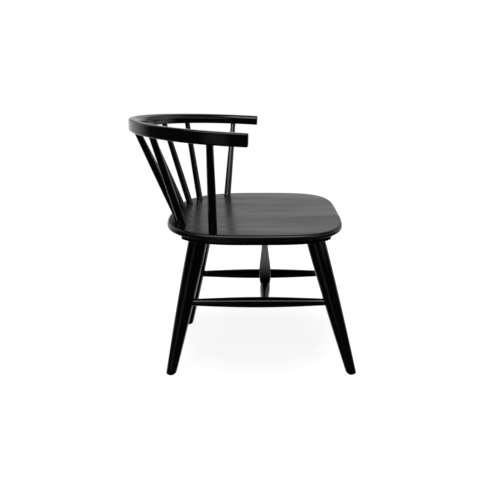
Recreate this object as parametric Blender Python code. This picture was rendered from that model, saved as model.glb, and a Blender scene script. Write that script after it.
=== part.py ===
"""Low-back Windsor armchair: a board seat, a half-round arm bow on eight uprights,
four splayed turned legs and lens-shaped turned stretchers.

Metres, +Z up, +X towards the front of the chair, +Y towards the sitter's left.
Lengths along X are first set out from a datum line across the seat; the last step
moves the whole chair so that its origin is on the floor in the middle of its outline.
"""
import math

import bmesh
import bpy
import numpy as np
from mathutils import Matrix, Vector

# Seat
SEAT_HEIGHT = 0.4435
SEAT_WIDTH = 0.508
SEAT_FRONT = 0.194
SEAT_REAR = -0.2860
SEAT_WIDEST_AT = -0.049
SEAT_THICKNESS = 0.0145
SEAT_FRONT_SQUARENESS = 3.9
SEAT_REAR_SQUARENESS = 2.85
SEAT_DISH = 0.004
SEAT_TOP_ROUND = 0.006
SEAT_UNDER_CHAMFER = 0.003

# Board under the seat that takes the legs
BOARD_THICKNESS = 0.0125
BOARD_INSET = 0.010
BOARD_FRONT = 0.1555
BOARD_REAR = -0.2295
BOARD_END_SLANT = 0.003
SCREW_RADIUS = 0.0022
SCREW_HEAD_RADIUS = 0.0045
SCREW_LENGTH = 0.017
SCREW_INSET = 0.045
SCREW_SPREAD = 0.15

# Arm bow
BOW_WIDTH = 0.690
BOW_DEPTH = 0.293
BOW_MIDDLE_AT = -0.0825
BOW_ARM_END = -0.0455
BOW_TOP_AT_REAR = 0.710
BOW_DROP = 0.055
BOW_SQUARENESS = 1.93
BOW_SECTION_WIDTH = 0.028
BOW_SECTION_HEIGHT = 0.029
BOW_OUTER_ROUND = 0.0045
BOW_INNER_ROUND = 0.0080
BOW_END_ROUND = 0.0030

# Back spindles, set out on each side of the middle
SPINDLES_PER_SIDE = 3
SPINDLE_FOOT_SPACING = 0.062
SPINDLE_FOOT_REAR = -0.262
SPINDLE_FOOT_CURVE = 1.4
SPINDLE_TOP_FIRST = 0.058
SPINDLE_TOP_SPACING = 0.102
SPINDLE_FOOT_RADIUS = 0.0098
SPINDLE_TOP_RADIUS = 0.0078
UPRIGHT_SWELL = 0.0004

# Arm posts
POST_FOOT_X = -0.144
POST_FOOT_Y = 0.205
POST_TOP_ARC = 0.431
POST_FOOT_RADIUS = 0.0110
POST_TOP_RADIUS = 0.0080

# Sockets for the uprights
SPINDLE_SOCKET_DEPTH = 0.0085
POST_SOCKET_DEPTH = 0.0180
BOW_SOCKET_DEPTH = 0.0130
BOW_AIM_ABOVE_UNDERSIDE = 0.0040
FIT = 0.0003

# Legs
LEG_FOOT_Y = 0.1555
LEG_FOOT_X_REAR = -0.2875
LEG_FOOT_X_FRONT = 0.2309
LEG_LEAN_REAR = 0.2225
LEG_LEAN_FRONT = -0.280
LEG_SPLAY = -0.222
LEG_FOOT_RADIUS = 0.0141
LEG_TOP_RADIUS = 0.0265
LEG_TENON_RADIUS = 0.0140
LEG_TENON_LENGTH = 0.0180
FOOT_CHAMFER = 0.0020

# Stretchers
STRETCHER_HEIGHT = 0.203
STRETCHER_MID_RADIUS = 0.0152
STRETCHER_END_RADIUS = 0.0098
STRETCHER_SOCKET_DEPTH = 0.0150
CROSS_STRETCHER_AT = -0.018
CROSS_SOCKET_DEPTH = 0.0090

# Upright between the cross stretcher and the seat
CENTER_POST_SHOULDER_RADIUS = 0.0156
CENTER_POST_BELLY_RADIUS = 0.0175
CENTER_POST_BELLY_RISE = 0.026
CENTER_POST_NECK_RADIUS = 0.0086
CENTER_POST_NECK_RISE = 0.135
CENTER_POST_TENON = 0.0090

# Glides
GLIDE_THICKNESS = 0.0030
GLIDE_RADIUS = 0.0110
GLIDE_PIN_RADIUS = 0.0020
GLIDE_PIN_LENGTH = 0.0120

OUTLINE_POINTS = 72
BOW_STATIONS = 48
LEG_SIDES = 24
STRETCHER_SIDES = 20
SPINDLE_SIDES = 16

BOARD_TOP = SEAT_HEIGHT - SEAT_THICKNESS - FIT
BOARD_BOTTOM = BOARD_TOP - BOARD_THICKNESS


def clear_scene():
    for obj in list(bpy.data.objects):
        bpy.data.objects.remove(obj, do_unlink=True)


def paint(name, color, roughness, metallic=0.0):
    material = bpy.data.materials.new(name)
    material.use_nodes = True
    shader = material.node_tree.nodes["Principled BSDF"]
    shader.inputs["Base Color"].default_value = (*color, 1.0)
    shader.inputs["Roughness"].default_value = roughness
    shader.inputs["Metallic"].default_value = metallic
    return material


def add_object(name, mesh_edit, material=None, smooth_angle=35.0):
    mesh = bpy.data.meshes.new(name)
    mesh_edit.to_mesh(mesh)
    mesh_edit.free()
    mesh.shade_smooth()
    mesh.set_sharp_from_angle(angle=math.radians(smooth_angle))
    obj = bpy.data.objects.new(name, mesh)
    bpy.context.collection.objects.link(obj)
    if material:
        mesh.materials.append(material)
    return obj


def cut(target, cutter):
    """Take the cutter's volume out of the target and keep the cutter as a guide."""
    cutter.hide_render = True
    cutter.display_type = "WIRE"
    modifier = target.modifiers.new("sockets", "BOOLEAN")
    modifier.operation = "DIFFERENCE"
    modifier.object = cutter


def bridge(mesh_edit, lower, upper):
    """Join two rings of the same number of points with a band of four-sided faces."""
    count = len(lower)
    for i in range(count):
        j = (i + 1) % count
        mesh_edit.faces.new((lower[i], lower[j], upper[j], upper[i]))


def rings_to_solid(mesh_edit, rings):
    """Close a stack of rings, each anticlockwise seen from the last one, into one body."""
    loops = [[mesh_edit.verts.new(point) for point in ring] for ring in rings]
    for lower, upper in zip(loops, loops[1:]):
        bridge(mesh_edit, lower, upper)
    mesh_edit.faces.new(list(reversed(loops[0])))
    mesh_edit.faces.new(loops[-1])
    return loops


def circle(radius, height, sides):
    step = 2.0 * math.pi / sides
    return [Vector((radius * math.cos(i * step), radius * math.sin(i * step), height)) for i in range(sides)]


def along(start, end):
    """Placement whose Z axis runs from start to end."""
    direction = end - start
    return Matrix.Translation(start) @ direction.to_track_quat("Z", "Y").to_matrix().to_4x4()


def turn(name, start, end, profile, sides, material):
    """Turned piece on the line from start to end; profile holds (distance, radius) pairs."""
    mesh_edit = bmesh.new()
    rings_to_solid(mesh_edit, [circle(radius, distance, sides) for distance, radius in profile])
    obj = add_object(name, mesh_edit, material)
    obj.matrix_world = along(start, end)
    return obj


def socket_cutter(name, sockets):
    """One guide object from round sockets, each given as (start, end, radius, sides)."""
    mesh_edit = bmesh.new()
    for start, end, radius, sides in sockets:
        place = along(start, end)
        depth = (end - start).length
        rings = [[place @ point for point in circle(radius, height, sides)] for height in (0.0, depth)]
        rings_to_solid(mesh_edit, rings)
    return add_object(name, mesh_edit)


def seat_edge_point(angle, inset=0.0):
    """Point of the seat's outline: a squared-off ellipse, squarer at the front than at the rear."""
    cosine = math.cos(angle)
    sine = math.sin(angle)
    front = cosine >= 0.0
    power = 2.0 / (SEAT_FRONT_SQUARENESS if front else SEAT_REAR_SQUARENESS)
    reach = SEAT_FRONT - SEAT_WIDEST_AT if front else SEAT_WIDEST_AT - SEAT_REAR
    x = SEAT_WIDEST_AT + math.copysign(abs(cosine) ** power, cosine) * (reach - inset)
    y = math.copysign(abs(sine) ** power, sine) * (0.5 * SEAT_WIDTH - inset)
    return x, y


def seat_outline(inset, count=OUTLINE_POINTS):
    """Outline points at even steps of length, from many points of the formula."""
    fine = np.array([seat_edge_point(a, inset) for a in np.linspace(0.0, 2.0 * math.pi, 1441)])
    run = np.concatenate(([0.0], np.cumsum(np.hypot(*np.diff(fine, axis=0).T))))
    marks = np.linspace(0.0, run[-1], count + 1)[:-1]
    return [(float(np.interp(m, run, fine[:, 0])), float(np.interp(m, run, fine[:, 1]))) for m in marks]


def seat_ring(inset, height):
    return [Vector((x, y, height)) for x, y in seat_outline(inset)]


def dished_ring(share, rim_inset):
    """Ring inside the rim, sunk towards the middle of the seat."""
    depth = SEAT_DISH * (1.0 - share * share) ** 1.5
    ring = []
    for x, y in seat_outline(rim_inset):
        ring.append(Vector((SEAT_WIDEST_AT + (x - SEAT_WIDEST_AT) * share, y * share, SEAT_HEIGHT - depth)))
    return ring


def rim_rings():
    """Rings up the seat's edge: chamfer underneath, upright face, round top edge."""
    bottom = SEAT_HEIGHT - SEAT_THICKNESS
    rings = [seat_ring(SEAT_UNDER_CHAMFER, bottom)]
    rings.append(seat_ring(0.0, bottom + SEAT_UNDER_CHAMFER))
    for step in range(4):
        angle = 0.5 * math.pi * step / 3.0
        inset = SEAT_TOP_ROUND * (1.0 - math.cos(angle))
        height = SEAT_HEIGHT - SEAT_TOP_ROUND * (1.0 - math.sin(angle))
        rings.append(seat_ring(inset, height))
    return rings


def make_seat(material, sockets):
    mesh_edit = bmesh.new()
    rings = rim_rings()
    for share in (0.86, 0.68, 0.45, 0.20):
        rings.append(dished_ring(share, SEAT_TOP_ROUND))
    rings_to_solid(mesh_edit, rings)
    seat = add_object("seat_board", mesh_edit, material, 30.0)
    cut(seat, socket_cutter("guide_seat_sockets", sockets))
    return seat


def board_outline(height, end_inset):
    """Seat outline drawn in, with straight front and rear ends."""
    front = BOARD_FRONT - end_inset
    rear = BOARD_REAR + end_inset
    ring = []
    for x, y in seat_outline(BOARD_INSET):
        ring.append(Vector((min(max(x, rear), front), y, height)))
    return ring


def make_under_board(material):
    mesh_edit = bmesh.new()
    rings_to_solid(mesh_edit, [board_outline(BOARD_BOTTOM, BOARD_END_SLANT), board_outline(BOARD_TOP, 0.0)])
    return add_object("under_board", mesh_edit, material, 30.0)


def screw_places():
    """Six screws, three near each end of the under board."""
    places = []
    for x in (BOARD_REAR + SCREW_INSET, BOARD_FRONT - SCREW_INSET):
        for y in (-SCREW_SPREAD, 0.0, SCREW_SPREAD):
            places.append(Vector((x, y, BOARD_BOTTOM)))
    return places


def make_screws(material):
    """Countersunk screws from the under board up into the seat."""
    head = SCREW_HEAD_RADIUS - SCREW_RADIUS
    profile = [(0.0, SCREW_HEAD_RADIUS), (head, SCREW_RADIUS), (SCREW_LENGTH, SCREW_RADIUS)]
    for number, place in enumerate(screw_places(), start=1):
        tip = place + Vector((0.0, 0.0, SCREW_LENGTH))
        turn(f"board_screw_{number}", place, tip, profile, 12, material)


def screw_sockets():
    """Countersunk holes as stacked rings, from below the board up into the seat."""
    mesh_edit = bmesh.new()
    for place in screw_places():
        head = SCREW_HEAD_RADIUS - SCREW_RADIUS
        profile = [
            (-0.001, SCREW_HEAD_RADIUS + FIT),
            (0.0, SCREW_HEAD_RADIUS + FIT),
            (head, SCREW_RADIUS + FIT),
            (SCREW_LENGTH + FIT, SCREW_RADIUS + FIT),
        ]
        rings = [[place + p for p in circle(radius, height, 12)] for height, radius in profile]
        rings_to_solid(mesh_edit, rings)
    return add_object("guide_screw_holes", mesh_edit)


def bow_line(angle, inset):
    """Point of a line that runs along the bow at an inset from its outer face, on its top plane."""
    sine = math.sin(angle)
    power = 2.0 / BOW_SQUARENESS
    y = math.copysign(abs(sine) ** power, sine) * (0.5 * BOW_WIDTH - inset)
    x = BOW_MIDDLE_AT - abs(math.cos(angle)) ** power * (BOW_DEPTH - inset)
    return x, y


def bow_height(x):
    rear = BOW_MIDDLE_AT - BOW_DEPTH
    return BOW_TOP_AT_REAR - BOW_DROP * (x - rear)


def bow_center_points(count):
    """Centre line of the bow from the right arm's end round to the left arm's end, at even steps."""
    inset = 0.5 * BOW_SECTION_WIDTH
    curve = [bow_line(a, inset) for a in np.linspace(-0.5 * math.pi, 0.5 * math.pi, 1201)]
    side = 0.5 * BOW_WIDTH - inset
    fine = np.array([(BOW_ARM_END, -side)] + curve + [(BOW_ARM_END, side)])
    run = np.concatenate(([0.0], np.cumsum(np.hypot(*np.diff(fine, axis=0).T))))
    marks = np.linspace(0.0, run[-1], count)
    x = np.interp(marks, run, fine[:, 0])
    y = np.interp(marks, run, fine[:, 1])
    return marks - 0.5 * run[-1], x, y


def bow_point(arc, drop):
    """Point on the bow's centre line, arc away from its middle, drop below its top."""
    marks, x, y = bow_center_points(1201)
    px = float(np.interp(arc, marks, x))
    py = float(np.interp(arc, marks, y))
    return Vector((px, py, bow_height(px) - drop))


def bow_section():
    """Rounded section, anticlockwise seen along the bow; first value points outwards, second up."""
    half_width = 0.5 * BOW_SECTION_WIDTH
    half_height = 0.5 * BOW_SECTION_HEIGHT
    corners = [
        (half_width, half_height, BOW_OUTER_ROUND, 0.0),
        (-half_width, half_height, BOW_INNER_ROUND, 90.0),
        (-half_width, -half_height, BOW_OUTER_ROUND, 180.0),
        (half_width, -half_height, BOW_OUTER_ROUND, 270.0),
    ]
    points = []
    for out, up, radius, first in corners:
        center_out = out - math.copysign(radius, out)
        center_up = up - math.copysign(radius, up)
        steps = 4 if radius == BOW_INNER_ROUND else 3
        for step in range(steps):
            angle = math.radians(first + 90.0 * step / (steps - 1))
            points.append((center_out + radius * math.cos(angle), center_up + radius * math.sin(angle)))
    return points


def make_bow(material, sockets):
    marks, xs, ys = bow_center_points(BOW_STATIONS)
    tilt = math.atan(BOW_DROP)
    up = Vector((math.sin(tilt), 0.0, math.cos(tilt)))
    section = bow_section()
    stations = []
    for i in range(len(marks)):
        before = max(i - 1, 0)
        after = min(i + 1, len(marks) - 1)
        center = Vector((xs[i], ys[i], bow_height(xs[i]) - 0.5 * BOW_SECTION_HEIGHT))
        travel = Vector((xs[after] - xs[before], ys[after] - ys[before], 0.0))
        travel.z = -BOW_DROP * travel.x
        out = travel.cross(up).normalized()
        stations.append((center, travel.normalized(), out))
    rings = []
    shrink = (BOW_SECTION_HEIGHT - 2.0 * BOW_END_ROUND) / BOW_SECTION_HEIGHT
    first = stations[0]
    last = stations[-1]
    inner_first = (first[0] + first[1] * BOW_END_ROUND, first[1], first[2])
    inner_last = (last[0] - last[1] * BOW_END_ROUND, last[1], last[2])
    frames = [(first, shrink), (inner_first, 1.0)]
    frames += [(station, 1.0) for station in stations[1:-1]]
    frames += [(inner_last, 1.0), (last, shrink)]
    for (center, _travel, out), scale in frames:
        rings.append([center + out * a * scale + up * b * scale for a, b in section])
    mesh_edit = bmesh.new()
    rings_to_solid(mesh_edit, rings)
    bmesh.ops.recalc_face_normals(mesh_edit, faces=mesh_edit.faces)
    bow = add_object("arm_bow", mesh_edit, material, 40.0)
    cut(bow, socket_cutter("guide_bow_sockets", sockets))
    return bow


class Upright:
    """A spindle or arm post: its axis, its radii and the sockets that hold its ends."""

    def __init__(self, name, foot, top, foot_radius, top_radius, seat_depth):
        self.name = name
        self.foot_radius = foot_radius
        self.top_radius = top_radius
        direction = (top - foot).normalized()
        self.direction = direction
        self.seat_mouth = foot
        self.bow_mouth = top - direction * (BOW_AIM_ABOVE_UNDERSIDE / direction.z)
        self.start = foot - direction * (seat_depth / direction.z)
        self.end = self.bow_mouth + direction * BOW_SOCKET_DEPTH

    def build(self, material):
        seat_depth = (self.seat_mouth - self.start).length
        length = (self.end - self.start).length
        mouth = length - BOW_SOCKET_DEPTH
        profile = [(0.0, self.foot_radius), (seat_depth, self.foot_radius)]
        for step in range(1, 5):
            share = step / 5.0
            radius = self.foot_radius + (self.top_radius - self.foot_radius) * share
            radius += UPRIGHT_SWELL * math.sin(math.pi * share)
            profile.append((seat_depth + (mouth - seat_depth) * share, radius))
        profile += [(mouth - 0.004, self.top_radius), (length, self.top_radius)]
        return turn(self.name, self.start, self.end, profile, SPINDLE_SIDES, material)

    def seat_socket(self):
        beyond = self.seat_mouth + self.direction * 0.012
        return (self.start - self.direction * FIT, beyond, self.foot_radius + FIT, SPINDLE_SIDES)

    def bow_socket(self):
        before = self.bow_mouth - self.direction * 0.008
        return (before, self.end + self.direction * FIT, self.top_radius + FIT, SPINDLE_SIDES)


def make_uprights():
    """Six spindles from right to left and an arm post on each side."""
    uprights = []
    number = 1
    aim = BOW_SECTION_HEIGHT - BOW_AIM_ABOVE_UNDERSIDE
    offsets = [side * (k + 0.5) for side in (-1, 1) for k in range(SPINDLES_PER_SIDE)]
    for offset in sorted(offsets):
        foot_y = offset * SPINDLE_FOOT_SPACING
        foot_x = SPINDLE_FOOT_REAR + SPINDLE_FOOT_CURVE * foot_y * foot_y
        arc = math.copysign(SPINDLE_TOP_FIRST + (abs(offset) - 0.5) * SPINDLE_TOP_SPACING, offset)
        foot = Vector((foot_x, foot_y, SEAT_HEIGHT))
        top = bow_point(arc, aim)
        name = f"spindle_{number}"
        radii = (SPINDLE_FOOT_RADIUS, SPINDLE_TOP_RADIUS)
        uprights.append(Upright(name, foot, top, *radii, SPINDLE_SOCKET_DEPTH))
        number += 1
    for side, word in ((-1, "right"), (1, "left")):
        foot = Vector((POST_FOOT_X, side * POST_FOOT_Y, SEAT_HEIGHT))
        top = bow_point(side * POST_TOP_ARC, aim)
        radii = (POST_FOOT_RADIUS, POST_TOP_RADIUS)
        uprights.append(Upright(f"arm_post_{word}", foot, top, *radii, POST_SOCKET_DEPTH))
    return uprights


class Leg:
    """A splayed leg: a line through its foot, its taper and its joints."""

    def __init__(self, end_word, side_word, side):
        front = end_word == "front"
        self.name = f"leg_{end_word}_{side_word}"
        foot_x = LEG_FOOT_X_FRONT if front else LEG_FOOT_X_REAR
        lean = LEG_LEAN_FRONT if front else LEG_LEAN_REAR
        self.foot = Vector((foot_x, side * LEG_FOOT_Y, 0.0))
        self.slope = Vector((lean, side * LEG_SPLAY, 1.0))
        self.direction = self.slope.normalized()
        self.shoulder = self.at(BOARD_BOTTOM - FIT)
        self.top = self.shoulder + self.direction * LEG_TENON_LENGTH
        self.place = along(self.foot, self.top)

    def at(self, height):
        return self.foot + self.slope * height

    def radius(self, height):
        """The taper follows a quarter of a sine wave from the foot up to the seat."""
        share = height / self.shoulder.z
        return LEG_FOOT_RADIUS + (LEG_TOP_RADIUS - LEG_FOOT_RADIUS) * math.sin(0.5 * math.pi * share)

    def level_ring(self, radius, height):
        """Ring round the leg's axis whose points all lie at one height above the floor."""
        ring = []
        for point in circle(radius, 0.0, LEG_SIDES):
            rise = height - (self.place @ point).z
            ring.append(self.place @ (point + Vector((0.0, 0.0, rise / self.direction.z))))
        return ring

    def build(self, material, sockets):
        sole = GLIDE_THICKNESS + FIT
        rings = [self.level_ring(LEG_FOOT_RADIUS - FOOT_CHAMFER, sole)]
        rings.append(self.level_ring(LEG_FOOT_RADIUS, sole + FOOT_CHAMFER))
        for height in np.linspace(0.045, self.shoulder.z - 0.05, 7):
            distance = height / self.direction.z
            rings.append([self.place @ point for point in circle(self.radius(height), distance, LEG_SIDES)])
        rings.append(self.level_ring(LEG_TOP_RADIUS, self.shoulder.z))
        rings.append(self.level_ring(LEG_TENON_RADIUS, self.shoulder.z))
        reach = (self.top - self.foot).length
        rings.append([self.place @ point for point in circle(LEG_TENON_RADIUS, reach, LEG_SIDES)])
        mesh_edit = bmesh.new()
        rings_to_solid(mesh_edit, rings)
        leg = add_object(self.name, mesh_edit, material)
        nail_tip = self.at(GLIDE_THICKNESS) + Vector((0.0, 0.0, GLIDE_PIN_LENGTH + FIT))
        nail_hole = (nail_tip - Vector((0.0, 0.0, 0.03)), nail_tip, GLIDE_PIN_RADIUS + FIT, 12)
        cut(leg, socket_cutter(f"guide_{self.name}", sockets + [nail_hole]))
        return leg

    def tenon_socket(self):
        low = self.shoulder - self.direction * 0.012
        high = self.top + self.direction * FIT
        return (low, high, LEG_TENON_RADIUS + FIT, LEG_SIDES)


def lens_profile(length, end_length, mid_radius, end_radius):
    """Turned stretcher: straight tenons, and a belly that follows a cosine."""
    profile = [(0.0, end_radius)]
    span = length - 2.0 * end_length
    for step in range(9):
        share = step / 8.0
        swell = math.cos(0.5 * math.pi * (2.0 * share - 1.0))
        profile.append((end_length + span * share, end_radius + (mid_radius - end_radius) * swell))
    profile.append((length, end_radius))
    return profile


def make_side_stretcher(word, side, rear_leg, front_leg, material):
    """Stretcher between the rear and front legs of one side, with the cross stretcher's socket."""
    rear = rear_leg.at(STRETCHER_HEIGHT)
    front = front_leg.at(STRETCHER_HEIGHT)
    stay = rear_leg.radius(STRETCHER_HEIGHT) - STRETCHER_SOCKET_DEPTH
    start = rear + Vector((stay, 0.0, 0.0))
    end = front - Vector((stay, 0.0, 0.0))
    length = (end - start).length
    tenon = STRETCHER_SOCKET_DEPTH
    profile = lens_profile(length, tenon, STRETCHER_MID_RADIUS, STRETCHER_END_RADIUS)
    piece = turn(f"side_stretcher_{word}", start, end, profile, STRETCHER_SIDES, material)
    axis = Vector((CROSS_STRETCHER_AT, start.y, STRETCHER_HEIGHT))
    bottom = axis - Vector((0.0, side * cross_stay(), 0.0))
    beyond = axis - Vector((0.0, side * (STRETCHER_MID_RADIUS + 0.01), 0.0))
    tip = bottom + Vector((0.0, side * FIT, 0.0))
    socket = (beyond, tip, STRETCHER_END_RADIUS + FIT, STRETCHER_SIDES)
    cut(piece, socket_cutter(f"guide_side_stretcher_{word}", [socket]))
    radius = STRETCHER_END_RADIUS + FIT
    out = Vector((1.0, 0.0, 0.0))
    rear_socket = (start - out * FIT, rear + out * 0.04, radius, STRETCHER_SIDES)
    front_socket = (front - out * 0.04, end + out * FIT, radius, STRETCHER_SIDES)
    return rear_socket, front_socket


def cross_stay():
    """Distance that the cross stretcher's ends keep from the side stretchers' axes."""
    return STRETCHER_MID_RADIUS - CROSS_SOCKET_DEPTH


def make_cross_stretcher(material):
    """Stretcher between the two side stretchers, with a socket on top for the centre post."""
    reach = LEG_FOOT_Y + LEG_SPLAY * STRETCHER_HEIGHT - cross_stay()
    start = Vector((CROSS_STRETCHER_AT, -reach, STRETCHER_HEIGHT))
    end = Vector((CROSS_STRETCHER_AT, reach, STRETCHER_HEIGHT))
    profile = lens_profile(2.0 * reach, CROSS_SOCKET_DEPTH, STRETCHER_MID_RADIUS, STRETCHER_END_RADIUS)
    piece = turn("cross_stretcher", start, end, profile, STRETCHER_SIDES, material)
    low = Vector((CROSS_STRETCHER_AT, 0.0, center_post_foot() - FIT))
    high = low + Vector((0.0, 0.0, 0.03))
    socket = (low, high, CENTER_POST_NECK_RADIUS + FIT, STRETCHER_SIDES)
    cut(piece, socket_cutter("guide_cross_stretcher", [socket]))
    return piece


def center_post_foot():
    return STRETCHER_HEIGHT + STRETCHER_MID_RADIUS - CENTER_POST_TENON


def center_post_top():
    return SEAT_HEIGHT - SEAT_THICKNESS + 0.005


def make_center_post(material):
    """Club-shaped upright from the cross stretcher to the seat."""
    foot = Vector((CROSS_STRETCHER_AT, 0.0, center_post_foot()))
    top = Vector((CROSS_STRETCHER_AT, 0.0, center_post_top()))
    base = CENTER_POST_TENON + FIT
    belly = CENTER_POST_BELLY_RADIUS
    neck = CENTER_POST_NECK_RADIUS
    profile = [(0.0, neck), (base, neck), (base, CENTER_POST_SHOULDER_RADIUS - 0.0015)]
    profile.append((base + 0.0015, CENTER_POST_SHOULDER_RADIUS))
    profile.append((base + 0.5 * CENTER_POST_BELLY_RISE, 0.35 * CENTER_POST_SHOULDER_RADIUS + 0.65 * belly))
    for step in range(9):
        share = step / 8.0
        rise = CENTER_POST_BELLY_RISE + (CENTER_POST_NECK_RISE - CENTER_POST_BELLY_RISE) * share
        profile.append((base + rise, neck + (belly - neck) * 0.5 * (1.0 + math.cos(math.pi * share))))
    profile.append(((top - foot).length, neck))
    return turn("center_post", foot, top, profile, STRETCHER_SIDES, material)


def center_post_socket():
    low = Vector((CROSS_STRETCHER_AT, 0.0, BOARD_BOTTOM - 0.01))
    high = Vector((CROSS_STRETCHER_AT, 0.0, center_post_top() + FIT))
    return (low, high, CENTER_POST_NECK_RADIUS + FIT, STRETCHER_SIDES)


def make_glide(leg, material):
    """Round glide with a nail that goes straight up into the foot."""
    base = Vector((leg.foot.x + leg.slope.x * GLIDE_THICKNESS, leg.foot.y + leg.slope.y * GLIDE_THICKNESS, 0.0))
    edge = 0.0008
    pin_end = GLIDE_THICKNESS + GLIDE_PIN_LENGTH
    profile = [
        (0.0, GLIDE_RADIUS - edge),
        (edge, GLIDE_RADIUS),
        (GLIDE_THICKNESS, GLIDE_RADIUS),
        (GLIDE_THICKNESS, GLIDE_PIN_RADIUS),
        (pin_end, GLIDE_PIN_RADIUS),
    ]
    name = leg.name.replace("leg", "glide")
    return turn(name, base, base + Vector((0.0, 0.0, pin_end)), profile, 12, material)


def center_on_outline():
    """Move everything so that the origin is under the middle of the chair's outline."""
    bpy.context.view_layer.update()
    shown = [obj for obj in bpy.data.objects if obj.type == "MESH" and not obj.hide_render]
    xs = [(obj.matrix_world @ vertex.co).x for obj in shown for vertex in obj.data.vertices]
    middle = 0.5 * (min(xs) + max(xs))
    for obj in bpy.data.objects:
        obj.matrix_world = Matrix.Translation((-middle, 0.0, 0.0)) @ obj.matrix_world
    return middle


def main():
    clear_scene()
    black = paint("black_satin_paint", (0.012, 0.012, 0.013), 0.38)
    nylon = paint("black_nylon", (0.02, 0.02, 0.02), 0.55)
    steel = paint("zinc_plated_steel", (0.55, 0.55, 0.57), 0.35, 1.0)

    uprights = make_uprights()
    for upright in uprights:
        upright.build(black)
    make_bow(black, [upright.bow_socket() for upright in uprights])

    legs = {}
    for side, word in ((-1, "right"), (1, "left")):
        rear = Leg("rear", word, side)
        front = Leg("front", word, side)
        rear_socket, front_socket = make_side_stretcher(word, side, rear, front, black)
        rear.build(black, [rear_socket])
        front.build(black, [front_socket])
        legs[rear.name] = rear
        legs[front.name] = front
    for leg in legs.values():
        make_glide(leg, nylon)
    make_cross_stretcher(black)
    make_center_post(black)

    seat = make_seat(black, [upright.seat_socket() for upright in uprights])
    board = make_under_board(black)
    posts = [upright for upright in uprights if upright.name.startswith("arm_post")]
    cut(board, socket_cutter("guide_post_holes", [post.seat_socket() for post in posts]))
    tenons = [leg.tenon_socket() for leg in legs.values()]
    tenons.append(center_post_socket())
    tenon_holes = socket_cutter("guide_tenon_holes", tenons)
    screw_holes = screw_sockets()
    make_screws(steel)
    for piece in (seat, board):
        cut(piece, tenon_holes)
        cut(piece, screw_holes)
    middle = center_on_outline()
    print("Outline was centred by moving everything along X by", round(-middle, 5))


main()
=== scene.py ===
# %% [markdown]
# # A black low-back armchair
#
# This chair has a thin board seat, a half-round bow that serves as back and arms, six tapered
# spindles, two thicker arm posts, four splayed legs and lens-shaped stretchers, all in satin
# black paint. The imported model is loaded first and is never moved. Each wooden piece is then made
# again as a fine surface in the same place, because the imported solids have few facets, and paint
# this glossy shows every facet in its highlights.

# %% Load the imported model
import math

import bpy
import numpy as np
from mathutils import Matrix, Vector


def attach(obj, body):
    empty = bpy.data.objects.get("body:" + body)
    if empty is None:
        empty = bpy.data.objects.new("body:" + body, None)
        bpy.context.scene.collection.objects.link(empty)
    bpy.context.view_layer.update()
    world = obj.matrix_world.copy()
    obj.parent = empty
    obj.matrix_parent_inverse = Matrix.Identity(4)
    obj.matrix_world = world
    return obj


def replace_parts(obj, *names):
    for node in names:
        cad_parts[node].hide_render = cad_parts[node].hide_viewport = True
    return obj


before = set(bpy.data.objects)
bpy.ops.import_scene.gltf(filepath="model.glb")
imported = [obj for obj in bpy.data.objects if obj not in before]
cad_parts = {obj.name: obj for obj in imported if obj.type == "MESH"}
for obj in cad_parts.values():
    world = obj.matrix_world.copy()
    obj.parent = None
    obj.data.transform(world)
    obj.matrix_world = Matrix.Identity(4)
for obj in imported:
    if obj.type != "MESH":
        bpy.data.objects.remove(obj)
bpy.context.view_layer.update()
print("nodes in the packed model:", len(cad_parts))

# %% [markdown]
# ## Sizes of the chair
#
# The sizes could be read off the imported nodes, but the surfaces below need the formulas behind
# them: where a leg's axis meets the floor, how square the seat is, how far the bow drops. So they
# are written down as names, in metres. This cell has the ones that several pieces share, and the
# others stand where they are first used. Lengths along X were set out from a line across the
# seat, and `MIDDLE` moves that line to its place in the chair's own frame.

# %% Sizes shared by the pieces
MIDDLE = 0.06593
GLUE_GAP = 0.0003
SEAT_TOP = 0.4435
SEAT_UNDERSIDE = 0.4290
BOARD_TOP = 0.4287
BOARD_UNDERSIDE = 0.4162
LEG_FOOT_Y = 0.1555
LEG_SPLAY = 0.222
STRETCHER_HEIGHT = 0.203
STRETCHER_Y = LEG_FOOT_Y - LEG_SPLAY * STRETCHER_HEIGHT
STRETCHER_MIDDLE_RADIUS = 0.0152
CROSS_X = -0.018 + MIDDLE
print("seat thickness:", round(SEAT_TOP - SEAT_UNDERSIDE, 4))
print("board thickness:", round(BOARD_TOP - BOARD_UNDERSIDE, 4))

# %% [markdown]
# ## From a grid of points to a closed piece
#
# Blender can make a mesh from its own cubes and cylinders, from a curve with a bevel, or from
# plain lists of points and faces. Here every piece is a stack of closed rings, so one helper is
# enough: neighbouring rings are joined by four-sided faces, and each end ring is closed by a fan
# to its own middle point. The index sums are done on whole arrays, with no loop over points.


# %% Helper that turns rings into a mesh
def ring_surface(name, rings, material, sharp_angle=50.0):
    """rings[i, j] is point j of ring i. Face (i, j) joins j and j+1 of ring i to those of ring i+1."""
    rows, columns, _ = rings.shape
    ends = np.stack([rings[0].mean(axis=0), rings[-1].mean(axis=0)])
    points = np.concatenate([rings.reshape(-1, 3), ends])
    row = np.arange(rows - 1)[:, None] * columns
    here = np.arange(columns)[None, :]
    after = (here + 1) % columns
    quads = np.stack([row + here, row + after, row + columns + after, row + columns + here], axis=-1)
    base = (rows - 1) * columns
    low_fan = np.stack([after[0], here[0], np.full(columns, rows * columns)], axis=-1)
    high_fan = np.stack([base + here[0], base + after[0], np.full(columns, rows * columns + 1)], axis=-1)
    faces = quads.reshape(-1, 4).tolist() + low_fan.tolist() + high_fan.tolist()
    mesh = bpy.data.meshes.new(name)
    mesh.from_pydata(points.tolist(), [], faces)
    mesh.shade_smooth()
    mesh.set_sharp_from_angle(angle=math.radians(sharp_angle))
    piece = bpy.data.objects.new(name, mesh)
    bpy.context.collection.objects.link(piece)
    mesh.materials.append(material)
    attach(piece, "root")
    return piece


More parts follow.
